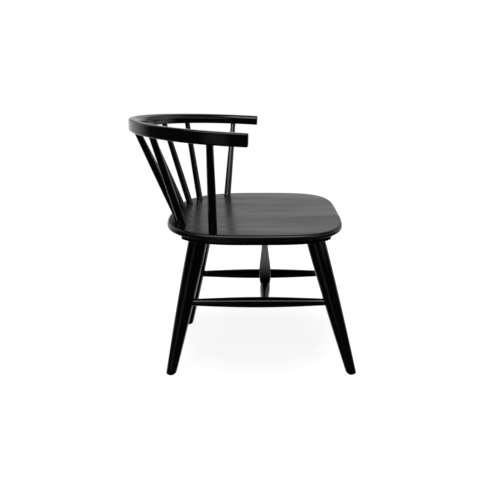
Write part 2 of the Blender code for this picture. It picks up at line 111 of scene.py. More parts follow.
# %% [markdown]
# ## Satin black paint
#
# Real satin paint on wood isn't one flat black. The film follows the wood's long grain as faint
# ridges, it has a fine pebbled skin from the spray gun, and its sheen varies a little from place
# to place. A texture photo could show that, but it would need unwrapping. Noise on the object's
# own coordinates needs none: stretched along the grain for the ridges, even in all directions for
# the pebbled skin. Three grain directions serve most pieces, since each was sawn along its
# length. The seat has a paint of its own, because sitting has dulled it in long patches. So has
# the centre post, whose duller paint carries a painted highlight: its colour turns light grey
# towards the top, in place of the bright reflection it shows there.


# %% Helpers for material nodes
EVEN = (1.0, 1.0, 1.0)


def new_material(name):
    """A material with its node tree, its shader and a node that gives object coordinates."""
    material = bpy.data.materials.new(name)
    material.use_nodes = True
    tree = material.node_tree
    return material, tree, tree.nodes["Principled BSDF"], tree.nodes.new("ShaderNodeTexCoord")


def add_node(tree, kind, **values):
    """A new node with the values of its input sockets set by name."""
    node = tree.nodes.new(kind)
    for socket, value in values.items():
        node.inputs[socket.replace("_", " ")].default_value = value
    return node


def stretched_noise(tree, coordinates, stretch, scale, detail):
    """Noise on object coordinates that are squeezed along each axis by the stretch."""
    mapping = add_node(tree, "ShaderNodeMapping", Scale=stretch)
    noise = add_node(tree, "ShaderNodeTexNoise", Scale=scale, Detail=detail, Roughness=0.55)
    tree.links.new(coordinates.outputs["Object"], mapping.inputs["Vector"])
    tree.links.new(mapping.outputs["Vector"], noise.inputs["Vector"])
    return noise


def two_tones(tree, shader, noise, dark, light):
    """The shader's colour runs from the dark tone to the light one with the noise."""
    tint = tree.nodes.new("ShaderNodeMix")
    tint.data_type = "RGBA"
    tint.inputs["A"].default_value = (*dark, 1.0)
    tint.inputs["B"].default_value = (*light, 1.0)
    tree.links.new(noise.outputs["Fac"], tint.inputs["Factor"])
    tree.links.new(tint.outputs["Result"], shader.inputs["Base Color"])


def patchy_gloss(tree, shader, noise, low, high):
    """The noise's middle range, 0.3 to 0.7, is widened to a roughness from low to high."""
    remap = add_node(tree, "ShaderNodeMapRange", From_Min=0.3, From_Max=0.7, To_Min=low, To_Max=high)
    tree.links.new(noise.outputs["Fac"], remap.inputs["Value"])
    tree.links.new(remap.outputs["Result"], shader.inputs["Roughness"])


def stacked_bumps(tree, shader, layers):
    """Each layer is a noise with a strength and a height in metres, and lies on the one before."""
    below = None
    for noise, strength, height in layers:
        bump = add_node(tree, "ShaderNodeBump", Strength=strength, Distance=height)
        tree.links.new(noise.outputs["Fac"], bump.inputs["Height"])
        if below:
            tree.links.new(below.outputs["Normal"], bump.inputs["Normal"])
        below = bump
    tree.links.new(below.outputs["Normal"], shader.inputs["Normal"])


# %% The paint itself
BLACK_DARK = (0.0008, 0.0008, 0.0008)
BLACK_LIGHT = (0.0024, 0.0023, 0.0022)
PAINT_IOR = 1.47
WAVE_SCALE, WAVE_HEIGHT = 14.0, 0.0003
RIDGE_SCALE, RIDGE_HEIGHT = 90.0, 0.00008
SKIN_SCALE, SKIN_HEIGHT = 900.0, 0.00003
CLOUD_SCALE = 22.0


def satin_black(name, grain, gloss=(0.10, 0.16), wave_height=WAVE_HEIGHT):
    """Paint over wood whose grain runs along the axis where the stretch is smallest."""
    material, tree, shader, coordinates = new_material(name)
    ridges = stretched_noise(tree, coordinates, grain, RIDGE_SCALE, 6.0)
    waves = stretched_noise(tree, coordinates, grain, WAVE_SCALE, 2.0)
    skin = stretched_noise(tree, coordinates, EVEN, SKIN_SCALE, 2.0)
    cloud = stretched_noise(tree, coordinates, grain, CLOUD_SCALE, 2.0)
    two_tones(tree, shader, ridges, BLACK_DARK, BLACK_LIGHT)
    patchy_gloss(tree, shader, cloud, *gloss)
    shader.inputs["IOR"].default_value = PAINT_IOR
    layers = [(waves, 1.0, wave_height), (ridges, 0.5, RIDGE_HEIGHT), (skin, 0.2, SKIN_HEIGHT)]
    stacked_bumps(tree, shader, layers)
    return material


GRAIN_X = (0.12, 1.0, 1.0)
GRAIN_Y = (1.0, 0.12, 1.0)
GRAIN_Z = (1.0, 1.0, 0.12)
paint_along_x = satin_black("paint_grain_front_to_back", GRAIN_X)
seat_paint = satin_black("paint_worn_by_sitting", GRAIN_X, gloss=(0.18, 0.36), wave_height=0.00020)
paint_along_y = satin_black("paint_grain_side_to_side", GRAIN_Y)
paint_along_z = satin_black("paint_grain_upright", GRAIN_Z)
print("paints:", paint_along_x.name, seat_paint.name, paint_along_y.name, paint_along_z.name)


# %% Painted highlight on the centre post
# Colour and heights of a painted highlight on the centre post.
PAINTED_HIGHLIGHT_GREY = (0.240, 0.228, 0.228, 1.0)
PAINTED_HIGHLIGHT_START = 0.235
PAINTED_HIGHLIGHT_FULL = 0.31


def paint_with_painted_highlight():
    """Dull black paint up to one height, a painted highlight of light grey above another, and a smooth
    step between them.
    """
    material = satin_black("paint_post_with_painted_highlight", GRAIN_Z, gloss=(0.30, 0.38))
    tree = material.node_tree
    base_color = tree.nodes["Principled BSDF"].inputs["Base Color"]
    black = base_color.links[0].from_socket
    height = tree.nodes.new("ShaderNodeSeparateXYZ")
    coordinates = tree.nodes.new("ShaderNodeTexCoord")
    tree.links.new(coordinates.outputs["Object"], height.inputs["Vector"])
    rise = add_node(tree, "ShaderNodeMapRange", From_Min=PAINTED_HIGHLIGHT_START, From_Max=PAINTED_HIGHLIGHT_FULL)
    rise.interpolation_type = "SMOOTHSTEP"
    tree.links.new(height.outputs["Z"], rise.inputs["Value"])
    blend = tree.nodes.new("ShaderNodeMix")
    blend.data_type = "RGBA"
    # Painted highlight: light grey mixed in above a height stands in for the light the post mirrors.
    blend.inputs["B"].default_value = PAINTED_HIGHLIGHT_GREY
    tree.links.new(rise.outputs["Result"], blend.inputs["Factor"])
    tree.links.new(black, blend.inputs["A"])
    tree.links.new(blend.outputs["Result"], base_color)
    return material


post_paint_with_highlight = paint_with_painted_highlight()
print("paint of the centre post:", post_paint_with_highlight.name)

# %% [markdown]
# ## The seat
#
# The seat is a board 14.5 mm thick with a soft top edge and a very shallow dish. Its outline is a
# squared-off ellipse, which is squarer at the front than at the rear. It could be drawn as a
# curve and filled, or cut from a box with bevels. A formula for the outline is shorter, and it
# lets the same outline be drawn in for the rounded rim, the dish and the board underneath.


# %% Outline of the seat
SEAT_FRONT = 0.194 + MIDDLE
SEAT_REAR = -0.286 + MIDDLE
SEAT_WIDEST = -0.049 + MIDDLE
SEAT_HALF_WIDTH = 0.254
SQUARENESS_FRONT = 3.9
SQUARENESS_REAR = 2.85


def seat_outline(inset, count=240):
    """Superellipse |x|^n + |y|^n = 1 with a larger n in front, at even steps of length."""
    angle = np.linspace(0.0, 2.0 * np.pi, 4001)
    cosine = np.cos(angle)
    sine = np.sin(angle)
    front = cosine >= 0.0
    power = 2.0 / np.where(front, SQUARENESS_FRONT, SQUARENESS_REAR)
    reach = np.where(front, SEAT_FRONT - SEAT_WIDEST, SEAT_WIDEST - SEAT_REAR) - inset
    x = SEAT_WIDEST + np.sign(cosine) * np.abs(cosine) ** power * reach
    y = np.sign(sine) * np.abs(sine) ** power * (SEAT_HALF_WIDTH - inset)
    run = np.concatenate([[0.0], np.cumsum(np.hypot(np.diff(x), np.diff(y)))])
    marks = np.arange(count) * run[-1] / count
    return np.stack([np.interp(marks, run, x), np.interp(marks, run, y)], axis=-1)


def level_ring(outline, height):
    """The outline's points, all at one height."""
    return np.column_stack([outline, np.full(len(outline), height)])


print("seat depth and width:", round(SEAT_FRONT - SEAT_REAR, 3), round(2 * SEAT_HALF_WIDTH, 3))

# %% Seat board with its rounded rim and dish
SEAT_DISH = 0.004
UNDERSIDE_ROUND = 0.004
RIM_INSET = 0.008
RIM_TALL = 0.010


def make_seat():
    """Rings go up the rim, over a quarter ellipse and in, sinking as (1 - s^2)^1.5."""
    rings = [level_ring(seat_outline(inset), SEAT_UNDERSIDE) for inset in (0.12, 0.03, 0.006)]
    for turn in np.linspace(0.0, 0.5 * np.pi, 7):
        inset = UNDERSIDE_ROUND * (1.0 - math.sin(turn))
        height = SEAT_UNDERSIDE + UNDERSIDE_ROUND * (1.0 - math.cos(turn))
        rings.append(level_ring(seat_outline(inset), height))
    for turn in np.linspace(0.0, 0.5 * np.pi, 15):
        inset = RIM_INSET * (1.0 - math.cos(turn))
        rings.append(level_ring(seat_outline(inset), SEAT_TOP - RIM_TALL * (1.0 - math.sin(turn))))
    rim = seat_outline(RIM_INSET)
    middle = np.array([SEAT_WIDEST, 0.0])
    for share in np.linspace(0.97, 0.03, 30):
        depth = SEAT_DISH * (1.0 - share * share) ** 1.5
        rings.append(level_ring(middle + (rim - middle) * share, SEAT_TOP - depth))
    return ring_surface("seat_dished_board", np.array(rings), seat_paint, sharp_angle=60.0)


seat = make_seat()
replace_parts(seat, "seat_board")
print("seat points:", len(seat.data.vertices))

# %% [markdown]
# ## The board under the seat
#
# A second, slightly smaller board under the seat gives the legs enough wood to be held in. Its
# ends are cut straight across and slanted. Only its edge shows, so the seat's outline drawn in by
# 10 mm and limited in front and behind is enough, with a rounded arris on both edges.


# %% Under board
BOARD_REAR = -0.2295 + MIDDLE
BOARD_FRONT = 0.1555 + MIDDLE
BOARD_INSET = 0.010
BOARD_SLANT = 0.003
BOARD_ARRIS = 0.0012


def board_ring(inset, slant, height):
    """Seat outline drawn in, with x limited to the straight ends."""
    outline = seat_outline(BOARD_INSET + inset)
    outline[:, 0] = np.clip(outline[:, 0], BOARD_REAR + slant + inset, BOARD_FRONT - slant - inset)
    return level_ring(outline, height)


def make_under_board():
    """Rings go up a small quarter circle, up the slanted face and over another quarter circle."""
    rings = [board_ring(inset, BOARD_SLANT, BOARD_UNDERSIDE) for inset in (0.09, 0.02)]
    for turn in np.linspace(0.0, 0.5 * np.pi, 5):
        inset = BOARD_ARRIS * (1.0 - math.sin(turn))
        height = BOARD_UNDERSIDE + BOARD_ARRIS * (1.0 - math.cos(turn))
        rings.append(board_ring(inset, BOARD_SLANT, height))
    for turn in np.linspace(0.0, 0.5 * np.pi, 5):
        inset = BOARD_ARRIS * (1.0 - math.cos(turn))
        rings.append(board_ring(inset, 0.0, BOARD_TOP - BOARD_ARRIS * (1.0 - math.sin(turn))))
    rings.append(board_ring(0.05, 0.0, BOARD_TOP))
    return ring_surface("seat_under_board", np.array(rings), paint_along_y, sharp_angle=35.0)


under_board = make_under_board()
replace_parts(under_board, "under_board")
print("under board points:", len(under_board.data.vertices))

# %% [markdown]
# ## The arm bow
#
# The bow is bent from one length of wood into half an ellipse with short straight arms, and it
# drops a little towards the front. Its section is a rounded rectangle with the softest corner on
# the inner top edge, where arms and back touch it. A curve with a bevel shape would do, but it
# turns its section in its own way. Carrying the section along the centre line by hand keeps its
# sides upright all the way round.


# %% Centre line of the bow
BOW_WIDE = 0.028
BOW_TALL = 0.029
BOW_HALF_WIDTH = 0.345
BOW_DEPTH = 0.293
BOW_BEND_AT = -0.0825 + MIDDLE
BOW_ARM_END = -0.0455 + MIDDLE
BOW_SQUARENESS = 1.93
BOW_TOP_AT_REAR = 0.710
BOW_REAR_REACH = 0.3755
BOW_DROP = 0.055


def bow_line(count):
    """Superellipse |x|^n + |y|^n = 1 behind, straight arms in front: points, and run from the middle."""
    inset = 0.5 * BOW_WIDE
    angle = np.linspace(-0.5 * np.pi, 0.5 * np.pi, 3001)
    power = 2.0 / BOW_SQUARENESS
    y = np.sign(np.sin(angle)) * np.abs(np.sin(angle)) ** power * (BOW_HALF_WIDTH - inset)
    x = BOW_BEND_AT - np.abs(np.cos(angle)) ** power * (BOW_DEPTH - inset)
    x = np.concatenate([[BOW_ARM_END], x, [BOW_ARM_END]])
    y = np.concatenate([[inset - BOW_HALF_WIDTH], y, [BOW_HALF_WIDTH - inset]])
    run = np.concatenate([[0.0], np.cumsum(np.hypot(np.diff(x), np.diff(y)))])
    marks = np.linspace(0.0, run[-1], count)
    px = np.interp(marks, run, x)
    py = np.interp(marks, run, y)
    pz = BOW_TOP_AT_REAR - BOW_DROP * (px - MIDDLE + BOW_REAR_REACH) - 0.5 * BOW_TALL
    return np.stack([px, py, pz], axis=-1), marks - 0.5 * run[-1]


bow_points, bow_run = bow_line(3001)
print("length along the bow:", round(bow_run[-1] - bow_run[0], 3))

# %% Section of the bow
ARRIS = (0.0045, 0.0045)
SOFT_CORNER = (0.0130, 0.0170)


def rounded_section(steps=13):
    """Quarter circles at three corners, and a quarter ellipse at the inner top corner."""
    quarter = np.linspace(0.0, 0.5 * np.pi, steps)
    signs = np.array([(1, 1), (-1, 1), (-1, -1), (1, -1)])
    radii = np.array([ARRIS, SOFT_CORNER, ARRIS, ARRIS])
    starts = np.array([0.0, 0.5, 1.0, 1.5]) * np.pi
    middles = signs * (np.array([0.5 * BOW_WIDE, 0.5 * BOW_TALL]) - radii)
    turns = starts[:, None] + quarter[None, :]
    out = middles[:, 0:1] + radii[:, 0:1] * np.cos(turns)
    up = middles[:, 1:2] + radii[:, 1:2] * np.sin(turns)
    return np.stack([out.ravel(), up.ravel()], axis=-1)


print("points in the section:", len(rounded_section()))

# %% Carry the section along the bow
BOW_END_ROUND = 0.003


def make_bow():
    """Point = centre + out * a + up * b, with the ends rounded over by shrinking the section."""
    line, _run = bow_line(241)
    travel = np.gradient(line, axis=0)
    travel /= np.linalg.norm(travel, axis=1)[:, None]
    up = np.array([math.sin(math.atan(BOW_DROP)), 0.0, math.cos(math.atan(BOW_DROP))])
    out = np.cross(up, travel)
    out /= np.linalg.norm(out, axis=1)[:, None]
    section = rounded_section()
    body = line[:, None, :] + out[:, None, :] * section[None, :, 0:1] + up * section[None, :, 1:2]
    turns = np.linspace(0.5 * np.pi, 0.0, 7)[:-1]
    inward = BOW_END_ROUND * (1.0 - np.sin(turns))
    shrink = BOW_END_ROUND * (1.0 - np.cos(turns))
    size = 1.0 - shrink[:, None] / np.array([0.5 * BOW_WIDE, 0.5 * BOW_TALL])
    shape = section[None] * size[:, None, :]
    caps = []
    for end, sign in ((0, 1.0), (-1, -1.0)):
        centers = line[end] + sign * travel[end] * inward[:, None]
        caps.append(centers[:, None, :] + out[end] * shape[:, :, 0:1] + up * shape[:, :, 1:2])
    rings = np.concatenate([caps[0], body[2:-2], caps[1][::-1]])
    return ring_surface("arm_bow_bent", rings, paint_along_y)


bow = make_bow()
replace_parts(bow, "arm_bow")

# %% [markdown]
# ## Turned pieces
#
# Spindles, posts, legs and stretchers are all turned on a lathe: a radius that changes along a
# straight axis. The Screw modifier could spin a profile, but then each piece would need its own
# turned object. Here the rings are placed straight along the axis between two points. Where a
# piece enters the seat or the bow, the paint pools into a tiny hollow fillet, which shows as a
# soft dark-to-light line in the real chair, so the radius flares by half a millimetre there.


# %% Rings along an axis
PAINT_POOL = 0.0005
PAINT_POOL_FADE = 0.0009


def turned_rings(start, end, distance, radius, sides=40):
    """Point = start + along * d + radius(d) * (cos t * side + sin t * across)."""
    start = np.asarray(start, dtype=float)
    end = np.asarray(end, dtype=float)
    along = (end - start) / np.linalg.norm(end - start)
    helper = np.array([0.0, 1.0, 0.0]) if abs(along[1]) < 0.9 else np.array([1.0, 0.0, 0.0])
    side = np.cross(helper, along)
    side /= np.linalg.norm(side)
    across = np.cross(along, side)
    turn = np.arange(sides) * 2.0 * np.pi / sides
    circle = np.cos(turn)[:, None] * side + np.sin(turn)[:, None] * across
    centers = start + along * np.asarray(distance)[:, None]
    return centers[:, None, :] + circle[None] * np.asarray(radius)[:, None, None]


def paint_fillet(distance_from_joint):
    """Flare of paint at a joint: pool * exp(-distance / fade), on both sides of it."""
    return PAINT_POOL * np.exp(-np.abs(distance_from_joint) / PAINT_POOL_FADE)


print("flare one millimetre from a joint:", round(paint_fillet(0.001), 5))

# %% A spindle or post
BOW_AIM = 0.004
TENON_IN_BOW = 0.012
UPRIGHT_SWELL = 0.0004


def make_upright(name, foot, top, foot_radius, top_radius, seat_depth):
    """A straight taper with a slight swell: r = foot + (top - foot) s + swell * sin(pi s)."""
    foot = np.asarray(foot, dtype=float)
    top = np.asarray(top, dtype=float)
    direction = (top - foot) / np.linalg.norm(top - foot)
    mouth = (top[2] - BOW_AIM - foot[2]) / direction[2]
    first = -seat_depth / direction[2]
    close = np.array([-0.004, -0.002, -0.001, 0.0, 0.001, 0.002, 0.004])
    shaft = np.linspace(0.008, mouth - 0.008, 24)
    spot = np.concatenate([[first], close, shaft, mouth + close, [mouth + TENON_IN_BOW]])
    share = np.clip(spot / mouth, 0.0, 1.0)
    radius = foot_radius + (top_radius - foot_radius) * share + UPRIGHT_SWELL * np.sin(np.pi * share)
    radius = radius + paint_fillet(spot) + paint_fillet(spot - mouth)
    start = foot - direction * seat_depth / direction[2]
    end = foot + direction * (mouth + TENON_IN_BOW)
    rings = turned_rings(start, end, spot - first, radius)
    return ring_surface(name, rings, paint_along_z)


def bow_at(run):
    """Point a little above the bow's underside, at a run from its middle."""
    middle = np.array([np.interp(run, bow_run, bow_points[:, axis]) for axis in range(3)])
    return middle - np.array([0.0, 0.0, 0.5 * BOW_TALL - BOW_AIM])


print("a spindle on the middle line would aim at:", np.round(bow_at(0.0), 3))

# %% Six spindles and two arm posts
SPINDLE_FOOT_X = -0.262
SPINDLE_FOOT_CURVE = 1.4
SPINDLE_FOOT_SPACING = 0.062
SPINDLE_TOP_START = 0.058
SPINDLE_TOP_SPACING = 0.102
SPINDLE_RADII = (0.0098, 0.0078)
SPINDLE_DEPTH_IN_SEAT = 0.0075
POST_FOOT = (-0.144 + MIDDLE, 0.205)
POST_TOP_RUN = 0.431
POST_RADII = (0.0110, 0.0080)
POST_DEPTH_IN_SEAT = 0.012

for number, place in enumerate((-2.5, -1.5, -0.5, 0.5, 1.5, 2.5), start=1):
    foot_y = place * SPINDLE_FOOT_SPACING
    foot = (SPINDLE_FOOT_X + SPINDLE_FOOT_CURVE * foot_y**2 + MIDDLE, foot_y, SEAT_TOP)
    top_run = SPINDLE_TOP_START + (abs(place) - 0.5) * SPINDLE_TOP_SPACING
    top = bow_at(math.copysign(top_run, place))
    spindle = make_upright(f"spindle_turned_{number}", foot, top, *SPINDLE_RADII, SPINDLE_DEPTH_IN_SEAT)
    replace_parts(spindle, f"spindle_{number}")
for side, word in ((-1, "right"), (1, "left")):
    foot = (POST_FOOT[0], side * POST_FOOT[1], SEAT_TOP)
    top = bow_at(side * POST_TOP_RUN)
    post = make_upright(f"post_turned_{word}", foot, top, *POST_RADII, POST_DEPTH_IN_SEAT)
    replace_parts(post, f"arm_post_{word}")
print("uprights made:", number + 2)

# %% [markdown]
# ## Legs
#
# Each leg leans outwards and forwards or backwards, and tapers to its foot. The taper isn't a
# straight cone: it is fullest near the seat and quickens towards the floor, which a quarter of a
# sine wave follows closely. The top is cut level to sit against the board, and the foot is cut
# level above its glide, so the rings at both ends are slid along the axis until all points of
# each lie at one height.


# %% Where the legs stand and how they lean
FRONT_FOOT_X, FRONT_LEAN = 0.2309, -0.280
REAR_FOOT_X, REAR_LEAN = -0.2875, 0.2225
LEGS = {
    "front_left": ((FRONT_FOOT_X, LEG_FOOT_Y), (FRONT_LEAN, -LEG_SPLAY)),
    "front_right": ((FRONT_FOOT_X, -LEG_FOOT_Y), (FRONT_LEAN, LEG_SPLAY)),
    "rear_left": ((REAR_FOOT_X, LEG_FOOT_Y), (REAR_LEAN, -LEG_SPLAY)),
    "rear_right": ((REAR_FOOT_X, -LEG_FOOT_Y), (REAR_LEAN, LEG_SPLAY)),
}


def leg_axis(word, height):
    """x of a leg's axis: x of its foot, plus its lean times the height."""
    (foot_x, _foot_y), (lean_x, _lean_y) = LEGS[word]
    return foot_x + MIDDLE + lean_x * height


print("legs meet the board at x:", {word: round(leg_axis(word, BOARD_UNDERSIDE), 3) for word in LEGS})

# %% Legs with level ends
LEG_FOOT_RADIUS = 0.0141
LEG_TOP_RADIUS = 0.0265
LEG_SIDES = 56
SOLE = 0.0033
SOLE_ROUND = 0.002


def slide_level(ring, along, height):
    """Each point moves along the axis until its z is the height."""
    return ring + along * ((height - ring[:, 2]) / along[2])[:, None]


def make_leg(word):
    """r = foot + (top - foot) sin(pi/2 * height / top height), on a straight leaning axis."""
    (foot_x, foot_y), (lean_x, lean_y) = LEGS[word]
    foot = np.array([foot_x + MIDDLE, foot_y, 0.0])
    along = np.array([lean_x, lean_y, 1.0])
    step = np.linalg.norm(along)
    shoulder = BOARD_UNDERSIDE - GLUE_GAP
    heights = np.concatenate([np.linspace(0.012, 0.395, 40), [shoulder]])
    fullness = np.sin(0.5 * np.pi * heights / shoulder)
    radius = LEG_FOOT_RADIUS + (LEG_TOP_RADIUS - LEG_FOOT_RADIUS) * fullness
    rings = turned_rings(foot, foot + along, heights * step, radius, LEG_SIDES)
    rings[-1] = slide_level(rings[-1], along, shoulder)
    low = []
    for turn in np.linspace(0.0, 0.5 * np.pi, 6):
        inset = SOLE_ROUND * (1.0 - math.sin(turn))
        ring = turned_rings(foot, foot + along, [0.0], [LEG_FOOT_RADIUS - inset], LEG_SIDES)[0]
        low.append(slide_level(ring, along, SOLE + SOLE_ROUND * (1.0 - math.cos(turn))))
    rings = np.concatenate([np.array(low), rings[1:]])
    return ring_surface(f"leg_turned_{word}", rings, paint_along_z)


for word in LEGS:
    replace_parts(make_leg(word), f"leg_{word}")
print("legs made:", len(LEGS))

# %% [markdown]
# ## Stretchers and centre post
#
# The stretchers are lens-shaped: thin where they enter the legs, and full in the middle, along
# half a cosine wave. The upright in the middle is club-shaped: full near the cross stretcher and
# drawn in to a thin neck under the seat.


# %% A lens-shaped stretcher
STRETCHER_END_RADIUS = 0.0098


def make_stretcher(name, start, end, joint, material):
    """r = end + (middle - end) cos(pi (s - 1/2)) between the joints, and plain inside them."""
    length = np.linalg.norm(np.subtract(end, start))
    close = np.array([-0.003, -0.001, 0.0, 0.001, 0.002, 0.004])
    spot = np.concatenate([[0.0], joint + close, np.linspace(joint + 0.01, length - joint - 0.01, 44)])
    spot = np.concatenate([spot, length - joint - close[::-1], [length]])
    share = np.clip((spot - joint) / (length - 2.0 * joint), 0.0, 1.0)
    fullness = np.cos(np.pi * (share - 0.5))
    radius = STRETCHER_END_RADIUS + (STRETCHER_MIDDLE_RADIUS - STRETCHER_END_RADIUS) * fullness
    radius = radius + paint_fillet(spot - joint) + paint_fillet(length - joint - spot)
    return ring_surface(name, turned_rings(start, end, spot, radius), material)


print("stretcher radii:", STRETCHER_END_RADIUS, STRETCHER_MIDDLE_RADIUS)

# %% Two side stretchers and the cross stretcher
SHORT_OF_LEG_AXIS = 0.0077
SHORT_OF_SIDE_AXIS = 0.0062
DEPTH_IN_LEG = 0.015
DEPTH_IN_SIDE = 0.009

for side, word in ((-1, "right"), (1, "left")):
    rear_x = leg_axis(f"rear_{word}", STRETCHER_HEIGHT) + SHORT_OF_LEG_AXIS
    front_x = leg_axis(f"front_{word}", STRETCHER_HEIGHT) - SHORT_OF_LEG_AXIS
    rear = (rear_x, side * STRETCHER_Y, STRETCHER_HEIGHT)
    front = (front_x, side * STRETCHER_Y, STRETCHER_HEIGHT)
    stretcher = make_stretcher(f"stretcher_turned_{word}", rear, front, DEPTH_IN_LEG, paint_along_x)
    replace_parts(stretcher, f"side_stretcher_{word}")
reach = STRETCHER_Y - SHORT_OF_SIDE_AXIS
ends = ((CROSS_X, -reach, STRETCHER_HEIGHT), (CROSS_X, reach, STRETCHER_HEIGHT))
cross = make_stretcher("stretcher_turned_cross", *ends, DEPTH_IN_SIDE, paint_along_y)
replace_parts(cross, "cross_stretcher")
print("cross stretcher length:", round(2.0 * reach, 3))

# %% Club-shaped centre post
POST_TOP = 0.434
POST_TENON = 0.0093
SHOULDER_ROUND = 0.0015
SHOULDER_RADIUS = 0.0156
BELLY_RADIUS = 0.0175
BELLY_AT = 0.026
NECK_RADIUS = 0.0086
NECK_AT = 0.135


def make_center_post():
    """A rounded shoulder, a sine up to the belly, then half a cosine wave down to the neck."""
    shoulder = STRETCHER_HEIGHT + STRETCHER_MIDDLE_RADIUS + GLUE_GAP
    joint = BOARD_UNDERSIDE - shoulder
    foot = np.array([CROSS_X, 0.0, shoulder - POST_TENON])
    top = np.array([CROSS_X, 0.0, POST_TOP])
    rise = [np.linspace(0.0, SHOULDER_ROUND, 5), np.linspace(0.003, BELLY_AT, 10)]
    rise = np.concatenate(rise + [np.linspace(0.03, NECK_AT, 30), np.linspace(0.14, joint, 6)])
    inward = np.clip(1.0 - (1.0 - rise / SHOULDER_ROUND) ** 2, 0.0, 1.0)
    corner = np.where(rise < SHOULDER_ROUND, SHOULDER_ROUND * (1.0 - np.sqrt(inward)), 0.0)
    swell = np.sin(0.5 * np.pi * np.clip(rise / BELLY_AT, 0.0, 1.0))
    belly = SHOULDER_RADIUS + (BELLY_RADIUS - SHOULDER_RADIUS) * swell
    fall = np.clip((rise - BELLY_AT) / (NECK_AT - BELLY_AT), 0.0, 1.0)
    neck = NECK_RADIUS + (BELLY_RADIUS - NECK_RADIUS) * 0.5 * (1.0 + np.cos(np.pi * fall))
    radius = np.where(rise <= BELLY_AT, belly, neck) - corner + paint_fillet(rise - joint)
    radius = np.concatenate([[NECK_RADIUS, NECK_RADIUS], radius, [NECK_RADIUS]])
    distance = np.concatenate([[0.0, POST_TENON - 0.0001], POST_TENON + rise, [top[2] - foot[2]]])
    rings = turned_rings(foot, top, distance, radius, 48)
    return ring_surface("post_turned_center", rings, post_paint_with_highlight)


center_post = make_center_post()
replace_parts(center_post, "center_post")
print("centre post points:", len(center_post.data.vertices))

# %% [markdown]
# ## Glides and screws
#
# These could be drawn again like the wood, but they stay as they were packed, because they are
# small and their shapes are right. The glides get moulded nylon with scuffs underneath, and the
# screws get zinc plating with a cloudy bloom.


# %% Moulded nylon
NYLON_DARK = (0.010, 0.010, 0.010)
NYLON_SCUFFED = (0.030, 0.029, 0.028)


def moulded_nylon():
    """Dark nylon with a pebbled skin, lighter and duller in scuffed patches."""
    material, tree, shader, coordinates = new_material("moulded_nylon")
    scuffs = stretched_noise(tree, coordinates, EVEN, 260.0, 4.0)
    skin = stretched_noise(tree, coordinates, EVEN, 1500.0, 2.0)
    two_tones(tree, shader, scuffs, NYLON_DARK, NYLON_SCUFFED)
    patchy_gloss(tree, shader, scuffs, 0.45, 0.65)
    stacked_bumps(tree, shader, [(skin, 0.4, 0.00005)])
    return material


nylon = moulded_nylon()
print("made:", nylon.name)


# %% Zinc plating
ZINC_BLUISH = (0.42, 0.43, 0.45)
ZINC_YELLOWISH = (0.62, 0.61, 0.57)


def zinc_plate():
    """Pale metal with a faint cloudy bloom."""
    material, tree, shader, coordinates = new_material("zinc_plate")
    shader.inputs["Metallic"].default_value = 1.0
    bloom = stretched_noise(tree, coordinates, EVEN, 400.0, 3.0)
    two_tones(tree, shader, bloom, ZINC_BLUISH, ZINC_YELLOWISH)
    patchy_gloss(tree, shader, bloom, 0.28, 0.45)
    return material


zinc = zinc_plate()
print("made:", zinc.name)

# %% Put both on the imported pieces
repainted = 0
for node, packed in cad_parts.items():
    if node.startswith(("glide", "board_screw")):
        for slot in packed.material_slots:
            slot.material = nylon if node.startswith("glide") else zinc
        repainted += 1
print("repainted:", repainted)

# %% [markdown]
# ## Floor, light and camera
#
# The chair stands on a pale seamless floor in a white studio. Black paint shows little of its own
# colour and much of what it mirrors, so what stands round the chair matters more than the lamps.
# In the photograph the seat mirrors a white wall beyond the chair, and the legs are black because
# they mirror a dark room round the camera. Thin lines on the rounded edges show a large soft box
# high above, and faint stripes show a dim panel and a window to either side of the camera. Real
# panels could be placed for each. A world colour that depends on direction does the same with
# soft borders, and the camera itself sees plain white in every direction.


# %% Floor
FLOOR_RADIUS = 1.6
FLOOR_SIDES = 96
# Middle and radii of a painted shadow: the floor glows less within them.
PAINTED_SHADOW_MIDDLE = (0.02, 0.12, 0.0)
PAINTED_SHADOW_RADII = (0.22, 0.42)
GLOW = (0.885, 1.02)


def make_floor():
    """A glowing level disc, keeping cast shadows faint, with a painted shadow of lower glow under the
    chair.
    """
    turn = np.arange(FLOOR_SIDES) * 2.0 * np.pi / FLOOR_SIDES
    x, y = FLOOR_RADIUS * np.cos(turn), FLOOR_RADIUS * np.sin(turn)
    points = np.column_stack([x, y, np.zeros(FLOOR_SIDES)])
    mesh = bpy.data.meshes.new("studio_floor")
    mesh.from_pydata(points.tolist(), [], [list(range(FLOOR_SIDES))])
    floor = bpy.data.objects.new("studio_floor", mesh)
    bpy.context.collection.objects.link(floor)
    material, tree, shader, coordinates = new_material("studio_floor")
    distance = tree.nodes.new("ShaderNodeVectorMath")
    distance.operation = "DISTANCE"
    distance.inputs[1].default_value = PAINTED_SHADOW_MIDDLE
    near, far = PAINTED_SHADOW_RADII
    low, high = GLOW
    # Painted shadow: the glow drops towards the middle under the chair.
    glow = add_node(tree, "ShaderNodeMapRange", From_Min=near, From_Max=far, To_Min=low, To_Max=high)
    tree.links.new(coordinates.outputs["Object"], distance.inputs[0])
    tree.links.new(distance.outputs["Value"], glow.inputs["Value"])
    tree.links.new(glow.outputs["Result"], shader.inputs["Emission Strength"])
    shader.inputs["Base Color"].default_value = (0.10, 0.10, 0.10, 1.0)
    shader.inputs["Roughness"].default_value = 1.0
    shader.inputs["Specular IOR Level"].default_value = 0.0
    shader.inputs["Emission Color"].default_value = (1.0, 1.0, 1.0, 1.0)
    mesh.materials.append(material)
    floor.visible_glossy = False
    return floor


print("made:", make_floor().name)


